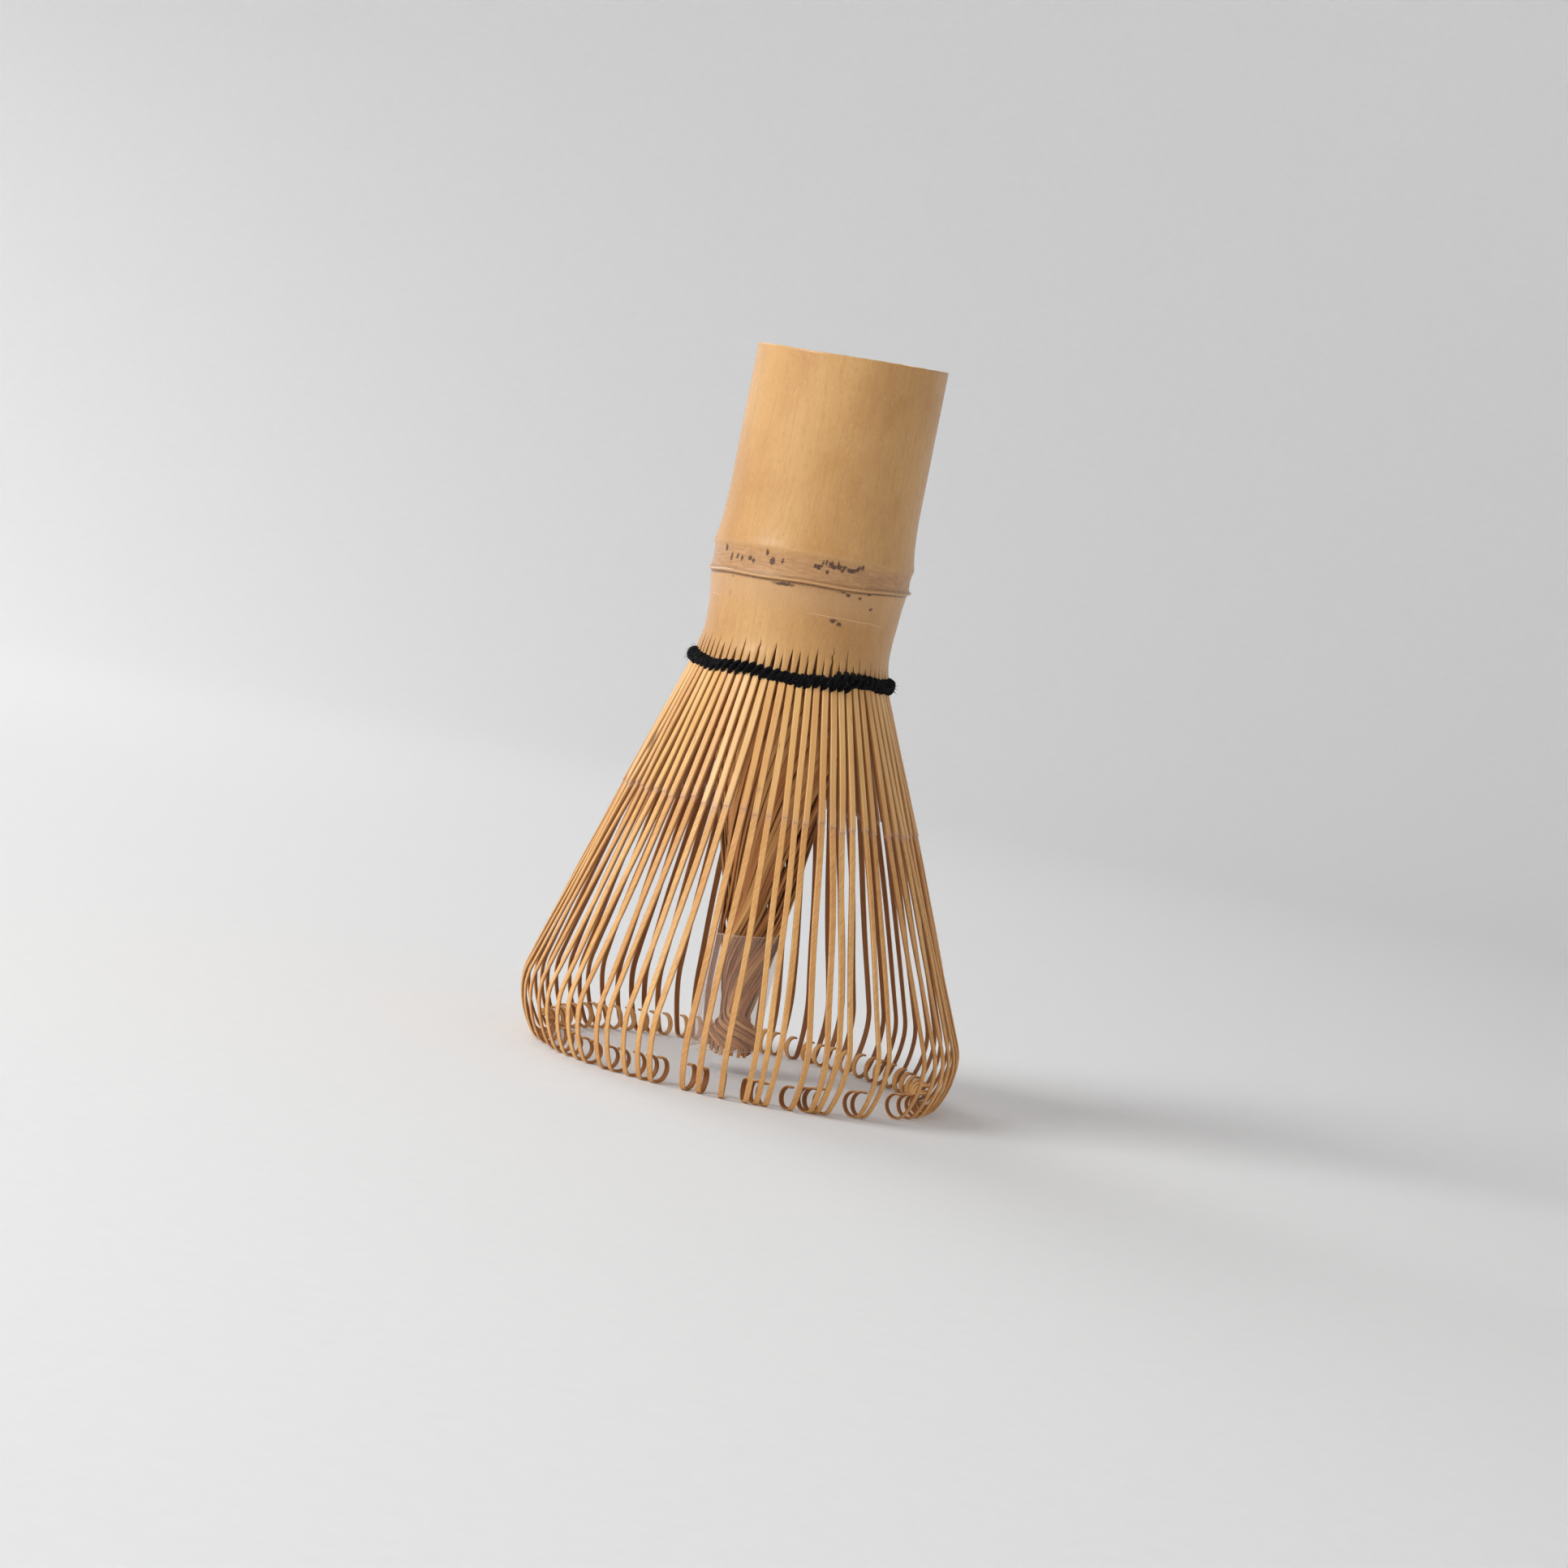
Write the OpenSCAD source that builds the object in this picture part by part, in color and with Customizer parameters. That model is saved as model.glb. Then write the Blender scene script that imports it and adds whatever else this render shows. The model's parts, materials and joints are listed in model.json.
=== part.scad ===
// Bamboo tea whisk (chasen), standing on its curled tips with the handle up.
// The origin is at the middle of the footprint, on the surface that the tips stand on.

/* [Handle] */
// Overall height, from the tips to the cut end
total_h = 104; // [98:1:112]
// Outer diameter of the grip
grip_d = 27.4; // [26.6:0.1:27.8]
// Diameter of the hollow in the grip
bore_d = 20.2; // [17:0.1:21]
// Height of the widest point of the node
shoulder_z = 75.2; // [74:0.1:77]
// Height of the ridge line round the node
ridge_z = 71.6; // [71:0.1:72.5]
// Radius of the node at its shoulder
shoulder_r = 14.4; // [14:0.05:14.6]
// Radius of the ridge line
ridge_r = 14.45; // [14.2:0.05:14.6]
// Radius of the neck, the narrowest place below the node
neck_r = 13.4; // [13.2:0.05:13.6]
// Thickness of the diaphragm that closes the culm at the node
septum_t = 2.5; // [1.5:0.1:3]

/* [Tines] */
// Tines in each of the eighteen groups
per_group = 4; // [3:1:4]
// Width of an outer tine at the ring
root_w = 0.95; // [0.8:0.05:0.95]
// Width of an outer tine at its tip
tip_w = 0.8; // [0.5:0.05:0.9]
// Thickness of an outer tine while it keeps its skin
skin_t = 0.9; // [0.7:0.05:1]
// Thickness of an outer tine below the skin
flesh_t = 0.45; // [0.3:0.05:0.5]
// Height at which the skin ends
step_z = 38.7; // [34:0.1:42]
// How far an outer tine leans out for each millimetre down
flare = 0.378; // [0.34:0.002:0.4]
// How far the cage of tines leans towards +X for each millimetre down
cage_lean = 0.05; // [0:0.005:0.05]
// Radius of the curl at a tip
curl_r = 1.9; // [1.5:0.1:2.2]

/* [Core] */
// Outer radius of the inner tines at the ring
core_top_r = 11.5; // [11:0.1:11.6]
// Radius of the waist of the core
waist_r = 2; // [1.6:0.1:2.4]
// Height of the waist
waist_z = 8.1; // [7:0.1:10]
// Radius to which the folded ends spread
fan_r = 3.6; // [2.6:0.1:3.8]
// Twist, in degrees for each e-fold of the core's radius
twist_gain = 75; // [30:1:90]
// How far the core leans towards +X for each millimetre down
core_lean = 0.022; // [0:0.001:0.03]

/* [Thread and film] */
// Height of the middle of the binding thread
ring_z = 58.5; // [58:0.1:59]
// Thickness of the thread, seen from the side
thread_h = 1.9; // [1.3:0.1:2]
// How far the thread stands out of the tines
thread_t = 0.9; // [0.5:0.05:1]
// Outer radius of the film sleeve
sleeve_r = 4.75; // [4.7:0.05:5.5]
// Thickness of the film
film_t = 0.15; // [0.1:0.01:0.2]
// Height of the sleeve's lower edge
sleeve_z = 3.1; // [2.8:0.1:4]
// Length of the sleeve
sleeve_h = 17; // [14:0.5:17]

/* [Hidden] */
groups = 18;                   // each group of tines is a body of its own
OUTER = [for (g = [1:groups]) str("outer_tines_", g < 10 ? "0" : "", g)];
INNER = [for (g = [1:groups]) str("inner_tines_", g < 10 ? "0" : "", g)];

tines = groups * per_group;
pitch = 360 / tines;           // angle between two neighbouring tines
root_drift = 0.2;              // unevenness of the roots, in degrees
tip_drift = 0.7;               // unevenness of the tips, in degrees
width_drift = 0.05;            // unevenness of the widths, as a share
// How far each tip at the front has strayed from even spacing, in degrees; the first is tine 41's
front_strays = [
    -8.5, -8.5, -7.5, -4.5, -4, -4.5, -5, -5.5, -4, -6, -5.5, -6.5, -8, -3.5, -4.5,
    -3, -1, -3.5, -5.5, -3.5, -3, -5.5, -8, -2.5, -4.5, 6, 7, 7.5, 7.5
];
front_first = 41;
grip_r = grip_d / 2;
bore_r = bore_d / 2;
chamfer = 0.3;                 // edge of the cut end
grip_low_z = 82;               // lower end of the straight grip
swell_z = 78;                  // where the culm starts to swell towards the node
neck_line = [[0.35, 68.8], [0.05, 65.5], [0, 63], [0.2, 61.3]]; // each is [radius over neck_r, height]
collar_z = 60.2;               // top of the groove between the outer and inner tines
root_r = 14.1;                 // outer face of the tines behind the thread
outer_in_r = 13;               // inner face of their roots
groove_r = 12;                 // inner side of the groove
wall_in_r = 10.4;              // hollow below the diaphragm
lay_gap = 0.15;                // clearance of the thread's inner lay in the groove
thread_seat = 0.2;             // clearance behind the thread's outer lay
cage_mid_z = 9;                // where the cage is widest and centred on the origin
handle_x = -cage_lean * (ring_z - cage_mid_z);
thread_low = ring_z - thread_h / 2;
tine_gap = 0.35;               // moving tines start this far below the thread
tine_top = thread_low - tine_gap;
core_top = ring_z + 0.5;
flare_loss = 0.00027;          // the flare gets less towards the tips
bend_r = 8;                    // first bend, from outwards to nearly straight down
bend_turn = 24;
hook_r = 13;                   // slow turn towards the axis
hook_turn = 30;
curl_steps = 9;                // stations round the curl; the second one is its lowest point
skin_mid_z = 49;               // stations halfway down the thick and the thin stretch of a tine
flesh_mid_z = 26;
step_h = 0.4;                  // height over which a tine gets thinner
heading_z = 10;                // the first bend starts from the heading that a tine has here
slit_w = 0.35;                 // width of the slits between the roots
slit_top = 61.2;               // height that they reach on average
slit_drift = 0.6;              // unevenness of their tops
slit_rise = 1.2;               // a slit is this much shorter at its inner end
fan_z = 2;                     // lowest point of the core
core_t = 1.1;                  // depth of an inner tine at the ring
core_thin = 0.45;              // it is never deeper than this share of the core's radius
core_fill = 0.72;              // share of the pitch that an inner tine fills
core_heights = [core_top, 48, 38, 29, 21, 15, 11, waist_z, 5, fan_z];
culm_colour = "#dcb981";
tine_colour = "#dba765";
core_colour = "#b5793f";
thread_colour = "#16161b";
film_colour = [0.93, 0.86, 0.84, 0.35];

// Shifts of the two bundles along X at height z
function cage_x(z) = handle_x + cage_lean * max(0, ring_z - z);
function core_x(z) = handle_x + core_lean * max(0, ring_z - z);

// A repeatable uneven value from -1 to 1 for tine i; k picks the kind of unevenness
function vary(i, k) = sin(i * 137.508 * k + 40 * k);

// Azimuth of tine i at the ring and at its tip. The strays at the two ends of the front even out round the back.
function even_az(i) = (i + 0.5 - per_group / 2) * pitch;
function root_az(i) = even_az(i) + root_drift * vary(i, 1);
function stray(i) =
    let (
        n = len(front_strays),
        k = (i - front_first + tines) % tines,
        share = (k - n + 1) / (tines - n + 1)
    )
    k < n
        ? front_strays[k]
        : front_strays[n - 1] + (front_strays[0] - front_strays[n - 1]) * share + tip_drift * vary(i, 2);
function tip_az(i) = even_az(i) + stray(i);

// Outer face of a tine as [radius, height, heading, thickness] stations from the ring to the tip.
// The heading is the angle from straight down, positive outwards.
function face_r(z) = root_r + flare * (ring_z - z) - flare_loss * pow(ring_z - z, 2);
function face_heading(z) = atan(flare - 2 * flare_loss * (ring_z - z));
function straight(z, t) = [face_r(z), z, face_heading(z), t];

// One arc that turns a station inwards by turn degrees on radius r, in n steps
function arc(s, r, turn, n) = [
    for (k = [1:n])
        let (h = s[2] - turn * k / n)
        [s[0] + r * (cos(h) - cos(s[2])), s[1] - r * (sin(s[2]) - sin(h)), h, s[3]]
];

bend_heading = face_heading(heading_z);
curl_heading = bend_heading - bend_turn - hook_turn;
curl_step = (90 + curl_heading) / 2;
// Where the first bend starts, so that the curls touch z = 0
bend_z =
    bend_r * (sin(bend_heading) - sin(bend_heading - bend_turn))
    + hook_r * (sin(bend_heading - bend_turn) - sin(curl_heading))
    + curl_r * (sin(curl_heading) + 1);

function tine_path() =
    let (
        line = [
            straight(tine_top, skin_t),
            straight(skin_mid_z, skin_t),
            straight(step_z, skin_t),
            straight(step_z - step_h, flesh_t),
            straight(flesh_mid_z, flesh_t),
            [face_r(bend_z), bend_z, bend_heading, flesh_t]
        ],
        bend = arc(line[5], bend_r, bend_turn, 2),
        hook = arc(bend[1], hook_r, hook_turn, 2),
        curl = arc(hook[1], curl_r, curl_step * curl_steps, curl_steps)
    )
    concat(line, bend, hook, curl);

// Skins a row of four-cornered rings into one closed solid. The side diagonals all run the same way,
// so that two twisted neighbours keep their gap.
module skin(rings) {
    n = len(rings);
    sides = [
        for (k = [0:n - 2], c = [0:3])
            let (a = 4 * k + c, b = 4 * k + (c + 1) % 4)
            each (c == 3 ? [[a, b, a + 4], [b, b + 4, a + 4]] : [[a, b, b + 4], [a, b + 4, a + 4]])
    ];
    last = 4 * (n - 1);
    caps = [[0, 3, 2], [0, 2, 1], [last, last + 1, last + 2], [last, last + 2, last + 3]];
    polyhedron([for (r = rings) each r], concat(sides, caps), convexity = 6);
}

// A point at radius r, azimuth az, side step u and height z, about an axis at x
function spot(x, r, az, u, z) = [x + r * cos(az) - u * sin(az), r * sin(az) + u * cos(az), z];

module outer_tine(i) {
    skin([
        for (s = tine_path())
            let (
                f = min(1, (tine_top - s[1]) / tine_top),
                az = root_az(i) + (tip_az(i) - root_az(i)) * f,
                w = (root_w + (tip_w - root_w) * f) * (1 + width_drift * vary(i, 3)) / 2,
                r_in = s[0] - s[3] * cos(s[2]),
                z_in = s[1] - s[3] * sin(s[2])
            )
            [
                spot(cage_x(s[1]), s[0], az, -w, s[1]),
                spot(cage_x(s[1]), s[0], az, w, s[1]),
                spot(cage_x(z_in), r_in, az, w, z_in),
                spot(cage_x(z_in), r_in, az, -w, z_in)
            ]
    ]);
}

module outer_tines(g) {
    color(tine_colour)
        for (j = [0:per_group - 1]) outer_tine((g - 1) * per_group + j);
}

// Outer radius of the core: a cone down to the waist, then the folded ends spread
function core_r(z) =
    z > waist_z
        ? waist_r + (core_top_r - waist_r) * (z - waist_z) / (core_top - waist_z)
        : waist_r + (fan_r - waist_r) * (waist_z - z) / (waist_z - fan_z);
function core_turn(z) =
    z > waist_z
        ? twist_gain * ln(core_top_r / core_r(z))
        : twist_gain * (ln(core_top_r / waist_r) + ln(core_r(z) / waist_r));

module inner_tine(i) {
    skin([
        for (z = core_heights)
            let (
                r = core_r(z),
                depth = min(core_t, core_thin * r),
                az = i * pitch - core_turn(z),
                half = core_fill * pitch / 2,
                x = core_x(z)
            )
            [
                spot(x, r, az - half, 0, z),
                spot(x, r, az + half, 0, z),
                spot(x, r - depth, az + half, 0, z),
                spot(x, r - depth, az - half, 0, z)
            ]
    ]);
}

module inner_tines(g) {
    color(core_colour)
        for (j = [0:per_group - 1]) inner_tine((g - 1) * per_group + j);
}

// Half section of the culm: outside down to the ring, then the hollow back up through the diaphragm
module culm_section() {
    septum_top = ridge_z + septum_t / 2;
    septum_low = septum_top - septum_t;
    above = [
        [grip_r - chamfer, total_h],
        [grip_r, total_h - chamfer],
        [grip_r, grip_low_z],
        [grip_r + 0.3, swell_z],
        [shoulder_r, shoulder_z],
        [shoulder_r - 0.25, shoulder_z - 1.3],
        [ridge_r - 0.25, ridge_z + 0.6],
        [ridge_r, ridge_z + 0.1],
        [ridge_r - 0.35, ridge_z - 0.5]
    ];
    neck = [for (p = neck_line) [neck_r + p[0], p[1]]];
    below = [
        [neck_r + 0.45, collar_z],
        [root_r, ring_z],
        [root_r + 0.15, thread_low],
        [outer_in_r, thread_low],
        [outer_in_r, collar_z],
        [groove_r, collar_z],
        [core_top_r, core_top],
        [wall_in_r, core_top],
        [wall_in_r, septum_low],
        [0, septum_low],
        [0, septum_top],
        [bore_r, septum_top],
        [bore_r, total_h]
    ];
    polygon(concat(above, neck, below));
}

// Side view of one slit, which runs out of the culm below the thread
module slit_side(top) {
    reach = 3;
    low = thread_low - 1;
    polygon([[0, low], [reach, low], [reach, top], [0, top - slit_rise]]);
}

// The slits between the roots of the outer tines, one cutter for each gap
module slits() {
    for (i = [0:tines - 1])
        rotate([0, 0, (root_az(i) + root_az((i + 1) % tines) + (i == tines - 1 ? 360 : 0)) / 2])
            translate([(groove_r + outer_in_r) / 2, slit_w / 2, 0])
                rotate([90, 0, 0])
                    linear_extrude(slit_w)
                        slit_side(slit_top + slit_drift * vary(i, 4));
}

module handle() {
    color(culm_colour)
        translate([handle_x, 0, 0])
            difference() {
                rotate_extrude($fn = 96) culm_section();
                slits();
            }
}

module thread_lay(r_in, r_out) {
    rotate_extrude($fn = 96)
        translate([r_in, thread_low])
            square([r_out - r_in, thread_h]);
}

module binding_thread() {
    color(thread_colour)
        translate([handle_x, 0, 0]) {
            thread_lay(root_r + thread_seat, root_r + thread_seat + thread_t);
            thread_lay(groove_r + lay_gap, outer_in_r - lay_gap);
        }
}

module film_sleeve() {
    color(film_colour)
        translate([core_x(sleeve_z + sleeve_h / 2), 0, sleeve_z])
            rotate_extrude($fn = 64)
                translate([sleeve_r - film_t, 0])
                    square([film_t, sleeve_h]);
}

handle();
binding_thread();
film_sleeve();
for (g = [1:groups]) {
    outer_tines(g);
    inner_tines(g);
}
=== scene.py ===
"""The looks of a bamboo tea whisk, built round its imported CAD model.

Sizes are in millimetres and angles in degrees; azimuth 270 is the front.
"""

import json
import math
from random import Random

import bpy
import numpy as np
from mathutils import Matrix, Vector

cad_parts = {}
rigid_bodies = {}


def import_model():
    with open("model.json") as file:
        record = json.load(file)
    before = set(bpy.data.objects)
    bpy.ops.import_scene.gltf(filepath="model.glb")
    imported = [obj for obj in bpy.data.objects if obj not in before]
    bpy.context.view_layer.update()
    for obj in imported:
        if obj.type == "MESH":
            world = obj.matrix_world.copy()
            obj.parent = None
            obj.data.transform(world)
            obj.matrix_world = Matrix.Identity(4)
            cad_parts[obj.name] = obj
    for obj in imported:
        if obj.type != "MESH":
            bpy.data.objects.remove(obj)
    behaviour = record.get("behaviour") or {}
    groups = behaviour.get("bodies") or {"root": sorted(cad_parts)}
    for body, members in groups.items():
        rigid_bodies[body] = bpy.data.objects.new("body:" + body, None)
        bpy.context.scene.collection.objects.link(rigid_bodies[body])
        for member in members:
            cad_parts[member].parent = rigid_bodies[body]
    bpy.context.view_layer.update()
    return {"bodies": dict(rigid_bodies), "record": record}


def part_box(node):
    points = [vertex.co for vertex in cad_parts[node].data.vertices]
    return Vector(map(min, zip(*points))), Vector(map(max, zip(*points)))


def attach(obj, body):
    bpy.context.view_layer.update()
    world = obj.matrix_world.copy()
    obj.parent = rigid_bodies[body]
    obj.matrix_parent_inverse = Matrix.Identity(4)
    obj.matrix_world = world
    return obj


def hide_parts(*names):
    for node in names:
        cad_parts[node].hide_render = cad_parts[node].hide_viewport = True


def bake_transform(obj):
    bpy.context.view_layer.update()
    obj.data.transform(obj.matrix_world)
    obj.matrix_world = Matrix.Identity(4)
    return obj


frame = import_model()

# ------------------------------------------------------------------ sizes that the frame gives
MM = 0.001


def node_box(node):
    low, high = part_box(node)
    return low / MM, high / MM


MOUNTS = {mount["name"]: mount for mount in frame["record"]["mounts"]}
THREAD_LOW, THREAD_HIGH = node_box("binding_thread")
FILM_LOW, FILM_HIGH = node_box("film_sleeve")
TOP_Z = node_box("handle")[1].z
RING_Z = (THREAD_LOW.z + THREAD_HIGH.z) / 2
HANDLE_X = (THREAD_LOW.x + THREAD_HIGH.x) / 2
FILM_X = (FILM_LOW.x + FILM_HIGH.x) / 2
FILM_R = (FILM_HIGH.x - FILM_LOW.x) / 2
GRIP_R = MOUNTS["grip"]["dims"]["r_mm"]
BORE_R = MOUNTS["handle_bore"]["dims"]["r_mm"]
SEPTUM_TOP = TOP_Z - MOUNTS["handle_bore"]["dims"]["length_mm"]
GROUPS = sum(name.startswith("tines_") for name in frame["bodies"])

# ------------------------------------------------------------------ the tines, laid out as in the CAD model
# The CAD model has these numbers too, but for ROOT_W, a little wider here, and CURL_TURN
PER_GROUP = 4
TINES = GROUPS * PER_GROUP
PITCH = 360 / TINES
ROOT_R = 14.1
ROOT_W = 0.97
TIP_W = 0.8
FLARE = 0.378
FLARE_LOSS = 0.00027
STEP_Z = 38.7
CAGE_LEAN = 0.05
CORE_LEAN = 0.022
BEND_R, BEND_TURN = 8, 24
HOOK_R, HOOK_TURN = 13, 30
CURL_R = 1.9
CURL_TURN = 249
CORE_TOP_R = 11.5
WAIST_R, WAIST_Z = 2, 8.1
TWIST_GAIN = 75
FRONT_AZIMUTH = 270


def vary(i, kind):
    """A repeatable uneven value from -1 to 1 for tine i."""
    return math.sin(math.radians(i * 137.508 * kind + 40 * kind))


def sin_deg(angle):
    return math.sin(math.radians(angle))


def cos_deg(angle):
    return math.cos(math.radians(angle))


def smooth(value, low, high):
    """0 below low, 1 above high and an even S between them."""
    t = min(1.0, max(0.0, (value - low) / (high - low)))
    return t * t * (3 - 2 * t)


def bell(value, centre, half_width):
    """1 at the centre, and near 0 at twice the half width from it."""
    return math.exp(-(((value - centre) / half_width) ** 2))


def right_of_front(azimuth):
    """The azimuth counted from the front, -180 to 180, positive to the right as seen from there."""
    return (azimuth - FRONT_AZIMUTH + 180) % 360 - 180


def along(points, at):
    """The value at a place along a row of (place, value) points, with level stretches at each point."""
    for (a, low), (b, high) in zip(points, points[1:]):
        if at <= b:
            return low + (high - low) * smooth(at, a, b)
    return points[-1][1]


def cage_x(z):
    return HANDLE_X + CAGE_LEAN * max(0.0, RING_Z - z)


# How far each tip at the front has strayed from even spacing, in degrees; the first is tine 41's
FRONT_STRAYS = [-8.5, -8.5, -7.5, -4.5, -4, -4.5, -5, -5.5, -4, -6, -5.5, -6.5, -8, -3.5, -4.5]
FRONT_STRAYS += [-3, -1, -3.5, -5.5, -3.5, -3, -5.5, -8, -2.5, -4.5, 6, 7, 7.5, 7.5]
FRONT_FIRST = 41
ROOT_DRIFT = 0.2
TIP_DRIFT = 0.7


def even_azimuth(i):
    """Azimuth of tine i with even spacing, the first group centred on 0."""
    return (i + 0.5 - PER_GROUP / 2) * PITCH


def root_azimuth(i):
    """Azimuth of tine i at the ring."""
    return even_azimuth(i) + ROOT_DRIFT * vary(i, 1)


def tip_azimuth(i):
    """Azimuth of tine i's tip. The strays at the two ends of the front even out round the back."""
    front = len(FRONT_STRAYS)
    k = (i - FRONT_FIRST) % TINES
    if k < front:
        return even_azimuth(i) + FRONT_STRAYS[k]
    share = (k - front + 1) / (TINES - front + 1)
    stray = FRONT_STRAYS[-1] + (FRONT_STRAYS[0] - FRONT_STRAYS[-1]) * share
    return even_azimuth(i) + stray + TIP_DRIFT * vary(i, 2)


def slit_azimuth(i):
    """Azimuth of the gap between tine i and the next one."""
    after = root_azimuth(i + 1) if i + 1 < TINES else root_azimuth(0) + 360
    return (root_azimuth(i) + after) / 2


def face_radius(z):
    """How far a tine's outer face is from the cage's axis, above its bends."""
    return ROOT_R + FLARE * (RING_Z - z) - FLARE_LOSS * (RING_Z - z) ** 2


def face_heading(z):
    """The angle of a tine's outer face from straight down, positive outwards."""
    return math.degrees(math.atan(FLARE - 2 * FLARE_LOSS * (RING_Z - z)))


# The thread makes one slow turn of a helix, and its two ends meet in a step right of the front.
CROSSING_AZIMUTH = 296
THREAD_RISE = [
    (0, 0.05),
    (6, 0.3),
    (20, 0.44),
    (64, 0.3),
    (244, -0.35),
    (284, -1.1),
    (312, -0.78),
    (336, -0.84),
    (356, -0.66),
    (372, -0.5),
]


def thread_height(turn):
    """Height of the thread's middle after that many degrees from the crossing."""
    return RING_Z + along(THREAD_RISE, turn)


def seam_height(i):
    """Height at which tine i leaves the culm, behind the thread."""
    return thread_height((root_azimuth(i) - CROSSING_AZIMUTH) % 360)


# ------------------------------------------------------------------ mesh helpers
def make_piece(name, points, faces, materials, values=None, face_materials=None, sharp=32):
    """An object from points in millimetres. values are numbers per point that its material reads."""
    mesh = bpy.data.meshes.new(name)
    mesh.from_pydata((np.asarray(points, float) * MM).tolist(), [], faces)
    for key, data in (values or {}).items():
        attribute = mesh.attributes.new(key, "FLOAT", "POINT")
        attribute.data.foreach_set("value", np.asarray(data, np.float32))
    mesh.polygons.foreach_set("use_smooth", [True] * len(mesh.polygons))
    for material in materials:
        mesh.materials.append(material)
    if face_materials is not None:
        mesh.polygons.foreach_set("material_index", face_materials)
    mesh.set_sharp_from_angle(angle=math.radians(sharp))
    mesh.validate()
    piece = bpy.data.objects.new(name, mesh)
    bpy.context.scene.collection.objects.link(piece)
    return piece


class Builder:
    """Gathers points, faces and the numbers per point of one piece."""

    def __init__(self):
        self.points = []
        self.faces = []
        self.values = {}

    def add_rings(self, rings, values):
        """Skins a row of rings with equal numbers of points, and caps both ends."""
        start = len(self.points)
        count = len(rings)
        sides = len(rings[0])
        for ring in rings:
            self.points.extend(ring)
        for key, rows in values.items():
            stored = self.values.setdefault(key, [])
            for row in rows:
                stored.extend(row)
        for k in range(count - 1):
            a = start + k * sides
            b = a + sides
            for c in range(sides):
                d = (c + 1) % sides
                self.faces.append((a + c, b + c, b + d, a + d))
        last = start + (count - 1) * sides
        self.faces.append(tuple(range(start, start + sides)))
        self.faces.append(tuple(reversed(range(last, last + sides))))

    def piece(self, name, material, sharp=32):
        return make_piece(name, self.points, self.faces, [material], self.values, sharp=sharp)


# ------------------------------------------------------------------ material helpers
def srgb(red, green, blue):
    """A colour given as 0-255 display values, as the shaders want it."""
    channels = []
    for value in (red, green, blue):
        v = value / 255
        channels.append(v / 12.92 if v <= 0.04045 else ((v + 0.055) / 1.055) ** 2.4)
    return (*channels, 1.0)


class Shading:
    """One material's node tree, with short names for the nodes used here."""

    def __init__(self, name, **sockets):
        self.material = bpy.data.materials.new(name)
        self.material.use_nodes = True
        self.tree = self.material.node_tree
        self.shader = self.tree.nodes["Principled BSDF"]
        for key, value in sockets.items():
            self.shader.inputs[key.replace("_", " ")].default_value = value

    def node(self, kind, inputs, **settings):
        made = self.tree.nodes.new(kind)
        for key, value in settings.items():
            setattr(made, key, value)
        for key, value in inputs.items():
            if isinstance(value, bpy.types.NodeSocket):
                self.tree.links.new(value, made.inputs[key])
            else:
                made.inputs[key].default_value = value
        return made

    def attribute(self, name):
        return self.node("ShaderNodeAttribute", {}, attribute_name=name).outputs["Fac"]

    def position(self):
        return self.node("ShaderNodeTexCoord", {}).outputs["Object"]

    def math(self, operation, a, b=0.0):
        return self.node("ShaderNodeMath", {0: a, 1: b}, operation=operation).outputs[0]

    def range(self, value, low, high, to_low=0.0, to_high=1.0):
        """value from low to high becomes to_low to to_high, with soft ends."""
        inputs = {"Value": value, "From Min": low, "From Max": high, "To Min": to_low, "To Max": to_high}
        return self.node("ShaderNodeMapRange", inputs, interpolation_type="SMOOTHSTEP").outputs["Result"]

    def stretch(self, vector, scale):
        return self.node("ShaderNodeMapping", {"Vector": vector, "Scale": scale}).outputs["Vector"]

    def combine(self, x, y, z=0.0):
        return self.node("ShaderNodeCombineXYZ", {"X": x, "Y": y, "Z": z}).outputs["Vector"]

    def noise(self, vector, scale, detail=3.0, roughness=0.55, distortion=0.0):
        inputs = {"Vector": vector, "Scale": scale, "Detail": detail, "Roughness": roughness}
        inputs["Distortion"] = distortion
        return self.node("ShaderNodeTexNoise", inputs).outputs[0]

    def spots(self, vector, scale, randomness=1.0):
        inputs = {"Vector": vector, "Scale": scale, "Randomness": randomness}
        return self.node("ShaderNodeTexVoronoi", inputs).outputs["Distance"]

    def mix(self, factor, a, b, blend="MIX"):
        inputs = {0: factor, 6: a, 7: b}
        return self.node("ShaderNodeMix", inputs, data_type="RGBA", blend_type=blend).outputs[2]

    def bump(self, height, distance, strength=1.0):
        """Adds a relief; distance is its depth in millimetres."""
        inputs = {"Height": height, "Distance": distance * MM, "Strength": strength}
        earlier = self.shader.inputs["Normal"]
        if earlier.is_linked:
            inputs["Normal"] = earlier.links[0].from_socket
        self.tree.links.new(self.node("ShaderNodeBump", inputs).outputs["Normal"], earlier)

    def set(self, key, socket):
        self.tree.links.new(socket, self.shader.inputs[key])


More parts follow.
